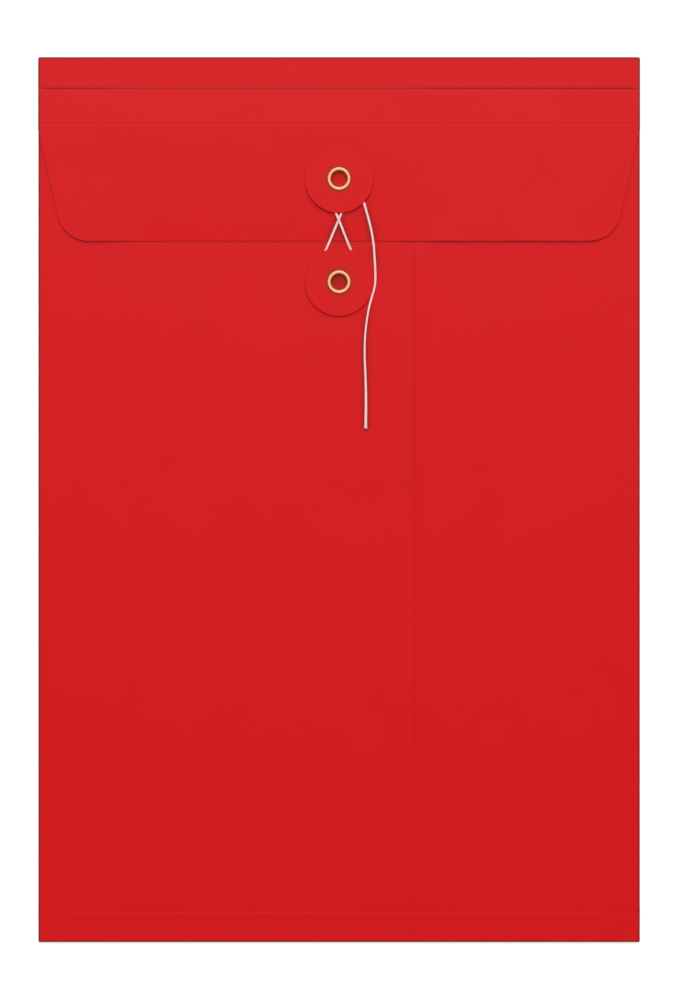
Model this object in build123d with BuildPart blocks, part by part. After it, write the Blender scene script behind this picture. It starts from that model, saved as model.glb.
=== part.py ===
import os
from math import cos, radians, sin, tan

from build123d import *

# A string tie envelope, closed and lying flat with its flap side up.
# X runs across, Y up towards the flap, Z out of the flap side, in millimetres.

# The flat envelope
envelope_width = 229.0
envelope_height = 336.9
paper = 0.25
ply_gap = 0.05  # air between two folded plies
fold_gap = 0.05  # a ply stops this far short of its fold line
gusset_half = 11.5  # each half of the side gussets and of the base
corner_r = 0.6  # the rear strips' lower corners
lip_corner_r = 0.3  # the same corners on the front strip
top_bend_r = 1.0  # outside of the bend at the top edge

# The flap
flap_length = 69.95
flap_straight = 27.6  # full width down to here
flap_taper = 13.0  # degrees that the sides lean in
flap_corner_r = 12.0
flap_gap = 0.45  # room for the upper eyelet's clenched end
first_score = 12.2  # below the top edge
second_score = 25.4

# The pocket
throat_drop = 27.0  # the mouth's rear edge, below the top edge
seam_x = 28.8
seam_overlap = 15.0
tuck_gap = 0.4  # between the tucks and the gussets above them
tuck_edge_gap = 0.2  # between the tucks and the turned-up bottom edge
lip_gap = 0.2  # between the turned-up bottom edge and the rear strips

# The washers and eyelets
upper_eyelet_drop = 46.35  # below the top edge
eyelet_spacing = 39.2
washer_r = 13.0
washer_thickness = 0.6
washer_edge_r = 0.15
washer_play = 0.08  # round the barrel
crown_gap = 0.05  # over the washer
barrel_r = 3.15
barrel_wall = 0.25
barrel_play = 0.05  # in the paper
crown_r = 4.4
crown_height = 0.8
crown_edge = 0.2
clench_r = 4.2
clench_height = 0.45
clench_edge = 0.12

# The string
string_diameter = 0.9
string_rest = 0.05  # clear of the paper that it lies on
string_gap = 1.45  # room for it under each washer
knot_turn_r = 3.75
upper_turn_r = 6.4
lower_turn_r = 9.2
crossing_gap = 0.5  # between the two legs where they cross
edge_lift = 0.1  # over the flap's edge
arc_share = 0.45  # of the shorter run that an arc takes up
sample_share = 0.3  # of its diameter, between the points that its gap is measured on
apart_share = 6.0  # of its diameter, from a point to the next stretch that counts

# Places that follow from those sizes
half_width = envelope_width / 2
top_y = envelope_height / 2
bottom_y = -top_y
base_y = bottom_y + gusset_half
bend_y = top_y - top_bend_r
first_score_y = top_y - first_score
second_score_y = top_y - second_score
flap_edge_y = top_y - flap_length
throat_y = top_y - throat_drop
seam_end_x = seam_x + seam_overlap
upper_eyelet_y = top_y - upper_eyelet_drop
lower_eyelet_y = upper_eyelet_y - eyelet_spacing
half_fold_gap = fold_gap / 2

# Heights of the plies
ply_step = paper + ply_gap
gusset_front_z = ply_step
gusset_rear_z = gusset_front_z + ply_step
back_left_z = gusset_rear_z + ply_step
back_right_z = back_left_z + paper
flap_z = back_right_z + paper + flap_gap
flap_top = flap_z + paper
back_top = back_left_z + paper

os.makedirs("parts", exist_ok=True)


def save(piece, name):
    piece.part.label = name
    export_step(piece.part, f"parts/{name}.step")


def plate(name, left, right, low, high, height):
    # A flat rectangle of paper between two folds or edges
    with BuildPart() as sheet:
        with BuildSketch(Plane.XY.offset(height)):
            with BuildLine():
                Polyline((left, low), (right, low), (right, high), (left, high), close=True)
            make_face()
        extrude(amount=paper)
    save(sheet, name)


# The front panel, and the bend that carries its paper round to the flap
plate("front_panel", -half_width, half_width, base_y + half_fold_gap, bend_y, 0)

with BuildPart() as top_fold:
    with BuildSketch(Plane.YZ.offset(-half_width)):
        with BuildLine():
            inner_r = top_bend_r - paper
            lip_top = flap_z - ply_gap
            Line((bend_y, 0), (bend_y, paper))
            RadiusArc((bend_y, paper), (bend_y + inner_r, top_bend_r), -inner_r)
            Polyline(
                (bend_y + inner_r, top_bend_r),
                (bend_y + inner_r, lip_top),
                (top_y, lip_top),
                (top_y, top_bend_r),
            )
            RadiusArc((top_y, top_bend_r), (bend_y, 0), top_bend_r)
        make_face()
    extrude(amount=envelope_width)
save(top_fold, "top_fold")

# The side gussets, whose slanted tops run from the front panel's edge down to the throat
gusset_outer = half_width - half_fold_gap
gusset_inner = half_width - gusset_half + half_fold_gap
gusset_low = base_y + tuck_gap
gusset_middle_top = throat_y + gusset_half
gusset_front_top = gusset_middle_top + gusset_half

for side, sign in (("left", -1), ("right", 1)):
    for half, outer_top, height in (
        ("front", gusset_front_top, gusset_front_z),
        ("rear", throat_y, gusset_rear_z),
    ):
        with BuildPart() as gusset:
            with BuildSketch(Plane.XY.offset(height)):
                with BuildLine():
                    Polyline(
                        (sign * gusset_outer, gusset_low),
                        (sign * gusset_inner, gusset_low),
                        (sign * gusset_inner, gusset_middle_top),
                        (sign * gusset_outer, outer_top),
                        close=True,
                    )
                make_face()
            extrude(amount=paper)
        save(gusset, f"{side}_gusset_{half}")

# The two rear panels, the right one glued over the left one along the seam
with BuildPart() as back_panel_left:
    with BuildSketch(Plane.XY.offset(back_left_z)):
        with BuildLine():
            Polyline(
                (-half_width, base_y + half_fold_gap),
                (seam_end_x, base_y + half_fold_gap),
                (seam_end_x, throat_y),
                (-half_width, throat_y),
                close=True,
            )
        make_face()
        with Locations((0, lower_eyelet_y)):
            Circle(barrel_r + barrel_play, mode=Mode.SUBTRACT)
    extrude(amount=paper)
save(back_panel_left, "back_panel_left")

plate("back_panel_right", seam_x, half_width, base_y + half_fold_gap, throat_y, back_right_z)

# The V-shaped base: the front strip turns up at the bottom edge and is glued to the rear strips
with BuildPart() as base_front:
    with BuildSketch(Plane.YZ.offset(-half_width)):
        with BuildLine():
            Polyline(
                (bottom_y, 0),
                (base_y - half_fold_gap, 0),
                (base_y - half_fold_gap, paper),
                (bottom_y + paper, paper),
                (bottom_y + paper, back_left_z - lip_gap),
                (bottom_y, back_left_z - lip_gap),
                close=True,
            )
        make_face()
    extrude(amount=envelope_width)
    fillet(base_front.edges().filter_by(Axis.Z).group_by(Axis.Y)[0], lip_corner_r)
save(base_front, "base_front")

for name, left, right, height in (
    ("base_rear_left", -half_width, seam_end_x, back_left_z),
    ("base_rear_right", seam_x, half_width, back_right_z),
):
    with BuildPart() as base_rear:
        with BuildSketch(Plane.XY.offset(height)):
            with BuildLine():
                Polyline(
                    (left, bottom_y),
                    (right, bottom_y),
                    (right, base_y - half_fold_gap),
                    (left, base_y - half_fold_gap),
                    close=True,
                )
            make_face()
        extrude(amount=paper)
        outer = 0 if left == -half_width else -1
        fillet(base_rear.edges().filter_by(Axis.Z).group_by(Axis.Y)[0].sort_by(Axis.X)[outer], corner_r)
    save(base_rear, name)

# The gussets' lower ends, folded into the base's corners as triangles
tuck_low = bottom_y + paper + tuck_edge_gap
tuck_high = base_y - tuck_gap
tuck_reach = tuck_high - tuck_low

for side, sign in (("left", -1), ("right", 1)):
    for half, height in (("front", gusset_front_z), ("rear", gusset_rear_z)):
        with BuildPart() as tuck:
            with BuildSketch(Plane.XY.offset(height)):
                with BuildLine():
                    Polyline(
                        (sign * (gusset_outer - corner_r), tuck_low),
                        (sign * (gusset_outer - corner_r - tuck_reach), tuck_low),
                        (sign * (gusset_outer - corner_r), tuck_high),
                        close=True,
                    )
                make_face()
            extrude(amount=paper)
        save(tuck, f"{side}_tuck_{half}")

# The flap: two strips between the scores, and the tapered tongue
plate("flap_spine", -half_width, half_width, first_score_y + half_fold_gap, top_y, flap_z)
plate(
    "flap_band",
    -half_width,
    half_width,
    second_score_y + half_fold_gap,
    first_score_y - half_fold_gap,
    flap_z,
)

with BuildPart() as flap_tongue:
    taper_x = half_width - (flap_length - flap_straight) * tan(radians(flap_taper))
    with BuildSketch(Plane.XY.offset(flap_z)) as tongue_outline:
        with BuildLine():
            Polyline(
                (half_width, second_score_y - half_fold_gap),
                (half_width, top_y - flap_straight),
                (taper_x, flap_edge_y),
                (-taper_x, flap_edge_y),
                (-half_width, top_y - flap_straight),
                (-half_width, second_score_y - half_fold_gap),
                close=True,
            )
        make_face()
        fillet(tongue_outline.vertices().group_by(Axis.Y)[0], flap_corner_r)
        with Locations((0, upper_eyelet_y)):
            Circle(barrel_r + barrel_play, mode=Mode.SUBTRACT)
    extrude(amount=paper)
save(flap_tongue, "flap_tongue")

# The closure: a card washer on a hollow eyelet, once on the flap and once on the rear panel
for place, centre_y, sheet_z in (
    ("upper", upper_eyelet_y, flap_z),
    ("lower", lower_eyelet_y, back_left_z),
):
    washer_z = sheet_z + paper + string_gap
    crown_z = washer_z + washer_thickness + crown_gap
    bore_r = barrel_r - barrel_wall

    with BuildPart() as washer:
        with BuildSketch(Plane.XY.offset(washer_z)):
            with Locations((0, centre_y)):
                Circle(washer_r)
                Circle(barrel_r + washer_play, mode=Mode.SUBTRACT)
        extrude(amount=washer_thickness)
        fillet(washer.edges().filter_by(GeomType.CIRCLE).group_by(SortBy.LENGTH)[-1], washer_edge_r)
    save(washer, f"{place}_washer")

    with BuildPart() as eyelet:
        with BuildSketch(Plane((0, centre_y, 0), x_dir=(1, 0, 0), z_dir=(0, -1, 0))):
            with BuildLine():
                ThreePointArc(
                    (bore_r, sheet_z - clench_edge),
                    ((bore_r + clench_r) / 2, sheet_z - clench_height),
                    (clench_r, sheet_z - clench_edge),
                )
                Polyline(
                    (clench_r, sheet_z - clench_edge),
                    (clench_r, sheet_z),
                    (barrel_r, sheet_z),
                    (barrel_r, crown_z),
                    (crown_r, crown_z),
                    (crown_r, crown_z + crown_edge),
                )
                ThreePointArc(
                    (crown_r, crown_z + crown_edge),
                    ((bore_r + crown_r) / 2, crown_z + crown_height),
                    (bore_r, crown_z + crown_edge),
                )
                Line((bore_r, crown_z + crown_edge), (bore_r, sheet_z - clench_edge))
            make_face()
        revolve(axis=Axis((0, centre_y, 0), (0, 0, 1)))
    save(eyelet, f"{place}_eyelet")


# The string: knotted round the upper barrel, taken round the lower one and back over itself,
# round the upper one again and out from under the washer as the loose tail
def turn_points(centre_y, turn_r, first_angle, step, count, height):
    # Corners of a polygon drawn round a circle, one at each step of the angle
    corner = turn_r / cos(radians(step / 2))
    angles = [radians(first_angle + step * n) for n in range(count)]
    return [(corner * cos(a), centre_y + corner * sin(a), height) for a in angles]


on_flap = flap_top + string_rest + string_diameter / 2
on_back = back_top + string_rest + string_diameter / 2
over_string = on_flap + string_diameter + crossing_gap

winding_route = (
    turn_points(upper_eyelet_y, knot_turn_r, 267, -50, 6, on_flap)
    + [
        (3.55, 117.55, on_flap),
        (2.0, 111.65, on_flap),
        (-3.2, 99.2, on_flap + edge_lift),
        (-5.7, 93.3, on_back),
    ]
    + turn_points(lower_eyelet_y, lower_turn_r, 179.4, 45.3, 5, on_back)
    + [
        (5.0, 93.6, on_back),
        (0.8, 104.2, over_string),
        (-0.4, 107.2, over_string),
        (-1.65, 110.15, on_flap + edge_lift),
        (-4.75, 116.75, on_flap),
    ]
    + turn_points(upper_eyelet_y, upper_turn_r, 179.4, -46.5, 4, on_flap)
    + [(9.5, 112.8, on_flap)]
)

tail_route = [
    (9.5, 112.8, on_flap),
    (10.95, 107.85, on_flap),
    (12.25, 102.7, on_flap),
    (13.15, 97.7, on_flap),
    (13.5, 92.5, on_back),
    (13.85, 86.9, on_back),
    (13.8, 81.7, on_back),
    (12.4, 77.1, on_back),
    (11.05, 71.7, on_back),
    (9.95, 63.7, on_back),
    (9.65, 55.7, on_back),
    (10.1, 46.7, on_back),
    (10.3, 36.95, on_back),
    (10.15, 27.1, on_back),
]


def bend_radii(route):
    # Each bend is as large as its two runs allow
    corners = [Vector(*point) for point in route]
    radii = []
    for before, corner, after in zip(corners, corners[1:], corners[2:]):
        turn = (corner - before).get_angle(after - corner)
        shorter = min((corner - before).length, (after - corner).length)
        radii.append(arc_share * shorter / tan(radians(turn / 2)))
    return radii


def string_piece(route, name):
    radii = bend_radii(route)
    with BuildPart() as string:
        with BuildLine() as line:
            FilletPolyline(*route, radius=radii)
        path = line.wire()
        with BuildSketch(Plane(path @ 0, z_dir=path % 0)):
            Circle(string_diameter / 2)
        sweep()
    section = Circle(string_diameter / 2, mode=Mode.PRIVATE).area
    print(name, "length", round(path.length, 2), "least radius", round(min(radii), 2))
    print(name, "radii", [round(r, 1) for r in radii])
    print(name, "volume over section times length", round(string.part.volume / section / path.length, 5))
    save(string, name)
    return path


def least_gap(path, step, apart):
    # The smallest space between two stretches of one string, measured on points along it
    count = int(path.length / step)
    points = [path @ (n / count) for n in range(count + 1)]
    skip = int(apart / step)
    spans = [(points[j] - points[i]).length for i in range(len(points)) for j in range(i + skip, len(points))]
    return min(spans) - string_diameter


winding = string_piece(winding_route, "string_winding")
string_piece(tail_route, "string_tail")
sample_step = sample_share * string_diameter
sample_apart = apart_share * string_diameter
print("string_winding least gap to itself", round(least_gap(winding, sample_step, sample_apart), 3))
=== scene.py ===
import math

import bmesh
import bpy
import numpy as np
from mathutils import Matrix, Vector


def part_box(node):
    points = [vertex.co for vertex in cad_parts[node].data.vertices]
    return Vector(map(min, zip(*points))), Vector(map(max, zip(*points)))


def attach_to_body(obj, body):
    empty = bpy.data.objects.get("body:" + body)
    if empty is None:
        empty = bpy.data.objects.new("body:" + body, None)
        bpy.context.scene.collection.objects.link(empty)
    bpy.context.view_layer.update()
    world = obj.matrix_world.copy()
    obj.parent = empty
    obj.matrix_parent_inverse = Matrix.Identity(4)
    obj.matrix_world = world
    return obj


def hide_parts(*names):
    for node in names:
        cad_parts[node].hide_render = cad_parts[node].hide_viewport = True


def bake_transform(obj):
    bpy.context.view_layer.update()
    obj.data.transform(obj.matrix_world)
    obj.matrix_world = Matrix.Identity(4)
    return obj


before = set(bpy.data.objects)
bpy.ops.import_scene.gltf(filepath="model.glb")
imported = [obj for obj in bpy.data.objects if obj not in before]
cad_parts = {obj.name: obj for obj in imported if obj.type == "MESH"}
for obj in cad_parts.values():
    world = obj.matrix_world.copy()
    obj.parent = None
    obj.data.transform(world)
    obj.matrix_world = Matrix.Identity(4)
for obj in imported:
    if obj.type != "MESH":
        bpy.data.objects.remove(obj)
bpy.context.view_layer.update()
mm = 0.001
print("frame loaded with", len(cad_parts), "nodes")


# Places, in millimetres, read from the frame
def nodeBox(node):
    low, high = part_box(node)
    return np.array(low) / mm, np.array(high) / mm


frontLow, frontHigh = nodeBox("front_panel")
bendLow, bendHigh = nodeBox("top_fold")
spineLow = nodeBox("flap_spine")[0]
bandLow, bandHigh = nodeBox("flap_band")
tongueLow, tongueHigh = nodeBox("flap_tongue")
leftHigh = nodeBox("back_panel_left")[1]
rightLow, rightHigh = nodeBox("back_panel_right")
baseFrontLow, baseFrontHigh = nodeBox("base_front")
baseLeftHigh = nodeBox("base_rear_left")[1]
baseRightLow, baseRightHigh = nodeBox("base_rear_right")
gussetFrontLow, gussetFrontHigh = nodeBox("right_gusset_front")
gussetRearLow, gussetRearHigh = nodeBox("right_gusset_rear")

halfWidth = frontHigh[0]
paper = frontHigh[2] - frontLow[2]
topY = bendHigh[1]
bottomY = baseFrontLow[1]
firstScoreY = (spineLow[1] + bandHigh[1]) / 2
secondScoreY = (bandLow[1] + tongueHigh[1]) / 2
baseY = (frontLow[1] + baseFrontHigh[1]) / 2
throatY = leftHigh[1]
seamX = rightLow[0]
flapTop = tongueHigh[2]
scene = bpy.context.scene


# Shader helpers
def feed(tree, value, socket):
    # a link from another socket, or a plain value
    if isinstance(value, bpy.types.NodeSocket):
        tree.links.new(value, socket)
    else:
        socket.default_value = value


def fill(tree, node, values):
    for name, value in values.items():
        feed(tree, value, node.inputs[name])


def mathNode(tree, operation, *values):
    node = tree.nodes.new("ShaderNodeMath")
    node.operation = operation
    for value, socket in zip(values, node.inputs):
        feed(tree, value, socket)
    return node.outputs[0]


def attribute(tree, name):
    node = tree.nodes.new("ShaderNodeAttribute")
    node.attribute_name = name
    return node.outputs


def startMaterial(name):
    material = bpy.data.materials.new(name)
    material.use_nodes = True
    tree = material.node_tree
    return material, tree, tree.nodes["Principled BSDF"]


# Camera and light
cameraSetup = {
    "lens": 150.0,
    "sensor": 36.0,
    "imageHeight": 1000,  # pixels
    "pixelsPerMm": 2.628,
    "aim": (0.354, -0.118),  # the middle of the picture, in millimetres on the envelope
    "clipEnd": 100.0,
}


def makeCamera(setup):
    data = bpy.data.cameras.new("plainCamera")
    data.lens = setup["lens"]
    data.sensor_width = setup["sensor"]
    seenHeight = setup["imageHeight"] / setup["pixelsPerMm"]
    distance = seenHeight * setup["lens"] / setup["sensor"] + flapTop
    camera = bpy.data.objects.new("plainCamera", data)
    camera.location = (setup["aim"][0] * mm, setup["aim"][1] * mm, distance * mm)
    data.clip_end = setup["clipEnd"]
    scene.collection.objects.link(camera)
    scene.camera = camera


makeCamera(cameraSetup)

lightSetup = {
    "lamps": {  # places in metres, above and beyond the flap
        "highKey": {"place": (0.0, 1.55, 3.75), "size": 1.6, "power": 48.0},
        "lowKey": {"place": (0.0, 4.2, 3.8), "size": 3.2, "power": 106.0},
    },
    "white": (1.0, 1.0, 1.0, 1.0),
    "skyStrength": 0.52,
    "floorSize": 3.0,
    "floorColour": (0.82, 0.82, 0.82, 1.0),
    "floorRoughness": 0.9,
    "floorGlow": 0.42,
    "floorDrop": 0.05,  # millimetres under the envelope
}


def lightPathMask(tree):
    # 1 for rays from the camera, a mirror or a clear surface, 0 for rays that light the object
    path = tree.nodes.new("ShaderNodeLightPath").outputs
    seen = mathNode(tree, "MAXIMUM", path["Is Camera Ray"], path["Is Glossy Ray"])
    return mathNode(tree, "MAXIMUM", seen, path["Is Transmission Ray"])


def makeLight(setup):
    for name, lamp in setup["lamps"].items():
        data = bpy.data.lights.new(name, "AREA")
        data.shape = "DISK"
        data.size = lamp["size"]
        data.energy = lamp["power"]
        key = bpy.data.objects.new(name, data)
        place = np.array(lamp["place"])
        away = place / np.linalg.norm(place)
        key.location = place
        key.rotation_euler = (math.acos(away[2]), 0.0, math.atan2(away[1], away[0]) + math.pi / 2)
        scene.collection.objects.link(key)

    world = bpy.data.worlds.new("paleRoom")
    world.use_nodes = True
    tree = world.node_tree
    background = tree.nodes["Background"]
    fill(tree, background, {"Color": setup["white"], "Strength": setup["skyStrength"]})
    seen = tree.nodes.new("ShaderNodeBackground")
    fill(tree, seen, {"Color": setup["white"]})
    mix = tree.nodes.new("ShaderNodeMixShader")
    tree.links.new(lightPathMask(tree), mix.inputs["Fac"])
    tree.links.new(background.outputs[0], mix.inputs[1])
    tree.links.new(seen.outputs[0], mix.inputs[2])
    tree.links.new(mix.outputs[0], tree.nodes["World Output"].inputs["Surface"])
    scene.world = world
    scene.view_settings.view_transform = "Standard"


def makeFloor(setup):
    half = setup["floorSize"] / 2
    drop = -setup["floorDrop"] * mm
    mesh = bpy.data.meshes.new("paleFloor")
    corners = [(-half, -half, drop), (half, -half, drop), (half, half, drop), (-half, half, drop)]
    mesh.from_pydata(corners, [], [(0, 1, 2, 3)])
    floor = bpy.data.objects.new("paleFloor", mesh)
    scene.collection.objects.link(floor)
    material, tree, surface = startMaterial("paleFloor")
    fill(tree, surface, {
        "Base Color": setup["floorColour"],
        "Roughness": setup["floorRoughness"],
        "Specular IOR Level": 0.0,
        "Emission Color": setup["white"],
        "Emission Strength": mathNode(tree, "MULTIPLY", lightPathMask(tree), setup["floorGlow"]),
    })
    mesh.materials.append(material)


makeLight(lightSetup)
makeFloor(lightSetup)
print("camera, light and floor ready")


# Finishes
def linear(red, green, blue):
    # a screen colour of 0 to 255 as the light that a shader works with
    part = np.array([red, green, blue]) / 255
    light = np.where(part <= 0.04045, part / 12.92, ((part + 0.055) / 1.055) ** 2.4)
    return (*light.tolist(), 1.0)


grainSetup = {
    "cloudDetail": 5.0,
    "toothDetail": 6.0,
    "toothRoughness": 0.65,
    "laid": (1.0, 0.45, 1.0),  # the tooth is longer along y
}


def makeGrainGroup(setup):
    # cloudy tone over centimetres, and a fibrous tooth under a millimetre
    group = bpy.data.node_groups.new("paperGrain", "ShaderNodeTree")
    group.interface.new_socket(name="Vector", in_out="INPUT", socket_type="NodeSocketVector")
    for name in ("Cloud Scale", "Tooth Scale"):
        group.interface.new_socket(name=name, in_out="INPUT", socket_type="NodeSocketFloat")
    for name in ("Cloud", "Tooth"):
        group.interface.new_socket(name=name, in_out="OUTPUT", socket_type="NodeSocketFloat")
    nodes = group.nodes
    start = nodes.new("NodeGroupInput").outputs
    cloud = nodes.new("ShaderNodeTexNoise")
    fill(group, cloud, {
        "Vector": start["Vector"],
        "Scale": start["Cloud Scale"],
        "Detail": setup["cloudDetail"],
    })
    laid = nodes.new("ShaderNodeMapping")
    fill(group, laid, {"Vector": start["Vector"], "Scale": setup["laid"]})
    tooth = nodes.new("ShaderNodeTexNoise")
    fill(group, tooth, {
        "Vector": laid.outputs["Vector"],
        "Scale": start["Tooth Scale"],
        "Detail": setup["toothDetail"],
        "Roughness": setup["toothRoughness"],
    })
    end = nodes.new("NodeGroupOutput")
    fill(group, end, {"Cloud": cloud.outputs["Fac"], "Tooth": tooth.outputs["Fac"]})
    return group


grainGroup = makeGrainGroup(grainSetup)


def mapRange(tree, source, low, high):
    node = tree.nodes.new("ShaderNodeMapRange")
    fill(tree, node, {"Value": source, "To Min": low, "To Max": high})
    return node.outputs["Result"]


def mixColour(tree, share, first, second):
    node = tree.nodes.new("ShaderNodeMix")
    node.data_type = "RGBA"
    fill(tree, node, {"Factor": share, "A": first, "B": second})
    return node.outputs["Result"]


def addBump(tree, surface, height, strength, distance):
    bump = tree.nodes.new("ShaderNodeBump")
    fill(tree, bump, {"Strength": strength, "Distance": distance, "Height": height})
    fill(tree, surface, {"Normal": bump.outputs["Normal"]})


paperFinish = {
    "darkRed": linear(206, 2, 9),
    "lightRed": linear(212, 7, 14),
    # painted highlight on a score's lip and on the flap's band
    "paintedLightShadeRed": linear(236, 36, 40),
    "shadedRed": linear(110, 6, 8),  # painted shade in scored lines, along the seam, inside the pocket and beside the string
    # painted shade along the envelope's outline
    "edgeShadeRed": linear(122, 22, 25),
    "edgeShadeWidths": (1.2, 1.1, 1.3, 1.1),  # width of the painted shade, in millimetres in from the left, right, top and bottom edges
    "gloss": 0.15,
    "roughness": (0.38, 0.46),
    "cloudScale": 42.0,
    "toothScale": 1900.0,
    "toothDepth": 0.00002,
    "toothStrength": 0.5,
}
# paper with painted shade beside the string, from how much of the sky the string hides
shadedFinish = {
    **paperFinish,
    "contactReach": 0.0026,  # metres within which the string's painted shade falls on the paper
    "contactShade": 2.6,  # how fast it darkens as the sky is hidden
    "contactMost": 0.6,
    "contactRays": 8,
}
cardFinish = {
    **paperFinish,
    "paintedLightShadeRed": linear(127, 46, 12),  # painted shade round the eyelet on the card washers
    "cloudScale": 90.0,
    "toothScale": 1500.0,
    "toothDepth": 0.00003,
}


def edgeShadeShare(tree, place, widths):
    # painted shade along the outline: 0 on the envelope's outline and 1 from the given widths inwards
    split = tree.nodes.new("ShaderNodeSeparateXYZ")
    tree.links.new(place, split.inputs[0])
    sides = zip("XXYY", (1, -1, -1, 1), (halfWidth, halfWidth, topY, topY), widths)
    gaps = [
        mathNode(tree, "MULTIPLY_ADD", split.outputs[axis], sign / (width * mm), half / width)
        for axis, sign, half, width in sides
    ]
    nearest = gaps[0]
    for gap in gaps[1:]:
        nearest = mathNode(tree, "MINIMUM", nearest, gap)
    share = tree.nodes.new("ShaderNodeMapRange")
    share.interpolation_type = "SMOOTHSTEP"
    tree.links.new(nearest, share.inputs["Value"])
    return share.outputs["Result"]


def contactShare(tree, look):
    # painted shade: how much of the sky the string hides, on paper marked as near it
    sky = tree.nodes.new("ShaderNodeAmbientOcclusion")
    sky.samples = look["contactRays"]
    fill(tree, sky, {"Distance": look["contactReach"]})
    hidden = mapRange(tree, sky.outputs["AO"], look["contactShade"], 0.0)
    most = mathNode(tree, "MINIMUM", hidden, look["contactMost"])
    return mathNode(tree, "MULTIPLY", most, attribute(tree, "nearString")["Fac"])


def addGrain(tree, place, cloudScale, toothScale):
    grain = tree.nodes.new("ShaderNodeGroup")
    grain.node_tree = grainGroup
    fill(tree, grain, {"Vector": place, "Cloud Scale": cloudScale, "Tooth Scale": toothScale})
    return grain.outputs["Cloud"], grain.outputs["Tooth"]


def makePaper(name, look):
    material, tree, surface = startMaterial(name)
    place = attribute(tree, "restPlace")["Vector"]
    cloud, tooth = addGrain(tree, place, look["cloudScale"], look["toothScale"])
    plain = mixColour(tree, cloud, look["darkRed"], look["lightRed"])
    paintedLightShadeTarnish = attribute(tree, "paintedLightShadeTarnish")["Fac"]
    # painted light and shade: lighter lips and band on paper, darker red round the eyelets on card
    withPaintedLightShade = mixColour(tree, paintedLightShadeTarnish, plain, look["paintedLightShadeRed"])
    if "contactShade" in look:
        shade = contactShare(tree, look)
    else:
        shade = mathNode(tree, "MULTIPLY", paintedLightShadeTarnish, -1.0)  # a value below nothing is painted shade
    shaded = mixColour(tree, shade, withPaintedLightShade, look["shadedRed"])
    # painted shade along the outline
    inside = edgeShadeShare(tree, place, look["edgeShadeWidths"])
    fill(tree, surface, {
        "Base Color": mixColour(tree, inside, look["edgeShadeRed"], shaded),
        "Roughness": mapRange(tree, tooth, *look["roughness"]),
        "Specular IOR Level": look["gloss"],
    })
    addBump(tree, surface, tooth, look["toothStrength"], look["toothDepth"])
    return material


brassFinish = {
    "bright": linear(244, 180, 140),
    "dull": linear(228, 152, 110),
    # tarnish and painted shade inside the eyelet: darker brown, less metallic brass
    "tarnishShadeBrown": linear(158, 88, 30),
    "tarnishShadeMetal": 0.45,
    "roughness": (0.5, 0.62),
    "tarnishScale": 700.0,
    "scratchScale": 5200.0,
    "scratchDepth": 0.000006,
    "scratchStrength": 0.4,
}


def makeBrass(look):
    material, tree, surface = startMaterial("paleBrass")
    place = tree.nodes.new("ShaderNodeTexCoord").outputs["Object"]
    cloud, tooth = addGrain(tree, place, look["tarnishScale"], look["scratchScale"])
    clean = mixColour(tree, cloud, look["dull"], look["bright"])
    # tarnish and painted shade on the inside of the roll, the throat and the bore
    paintedLightShadeTarnish = attribute(tree, "paintedLightShadeTarnish")["Fac"]
    fill(tree, surface, {
        "Base Color": mixColour(tree, paintedLightShadeTarnish, clean, look["tarnishShadeBrown"]),
        "Roughness": mapRange(tree, cloud, *look["roughness"]),
        "Metallic": mapRange(tree, paintedLightShadeTarnish, 1.0, look["tarnishShadeMetal"]),
    })
    addBump(tree, surface, tooth, look["scratchStrength"], look["scratchDepth"])
    return material


stringFinish = {
    "shade": linear(255, 206, 204),
    "cotton": linear(255, 226, 224),
    "fibreScale": (900.0, 7.0, 1.0),  # along the ply and round it
    "fibreDetail": 3.0,
    "fibreDepth": 0.00003,
    "fibreStrength": 0.6,
    "roughness": 0.85,
    "gloss": 0.2,
    "sheen": 0.15,
}


def makeCotton(look):
    material, tree, surface = startMaterial("whiteCotton")
    place = tree.nodes.new("ShaderNodeTexCoord").outputs["UV"]
    along = tree.nodes.new("ShaderNodeMapping")
    fill(tree, along, {"Vector": place, "Scale": look["fibreScale"]})
    noise = tree.nodes.new("ShaderNodeTexNoise")
    fill(tree, noise, {"Vector": along.outputs["Vector"], "Scale": 1.0, "Detail": look["fibreDetail"]})
    fibre = noise.outputs["Fac"]
    fill(tree, surface, {
        "Base Color": mixColour(tree, fibre, look["shade"], look["cotton"]),
        "Roughness": look["roughness"],
        "Specular IOR Level": look["gloss"],
        "Sheen Weight": look["sheen"],
    })
    addBump(tree, surface, fibre, look["fibreStrength"], look["fibreDepth"])
    return material


redPaper = makePaper("redPaper", paperFinish)
shadedPaper = makePaper("shadedPaper", shadedFinish)
redCard = makePaper("redCard", cardFinish)
paleBrass = makeBrass(brassFinish)
whiteCotton = makeCotton(stringFinish)
print("finishes ready")


# Mesh makers
def gridQuads(rows, columns, ring=False, tube=False):
    # the four corners of each cell of a grid numbered row by row; ring joins the last row to the first
    row, column = np.meshgrid(np.arange(rows - (not ring)), np.arange(columns - (not tube)), indexing="ij")
    row, column = row.ravel(), column.ravel()
    nextRow, nextColumn = (row + 1) % rows, (column + 1) % columns
    return np.stack(
        [
            row * columns + column,
            nextRow * columns + column,
            nextRow * columns + nextColumn,
            row * columns + nextColumn,
        ],
        axis=1,
    )


def keepPlace(mesh):
    # each point's place at rest, so that colours don't slide on a strip that bends
    spots = np.empty(len(mesh.vertices) * 3, dtype=np.float32)
    mesh.vertices.foreach_get("co", spots)
    mesh.attributes.new("restPlace", "FLOAT_VECTOR", "POINT").data.foreach_set("vector", spots)


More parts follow.
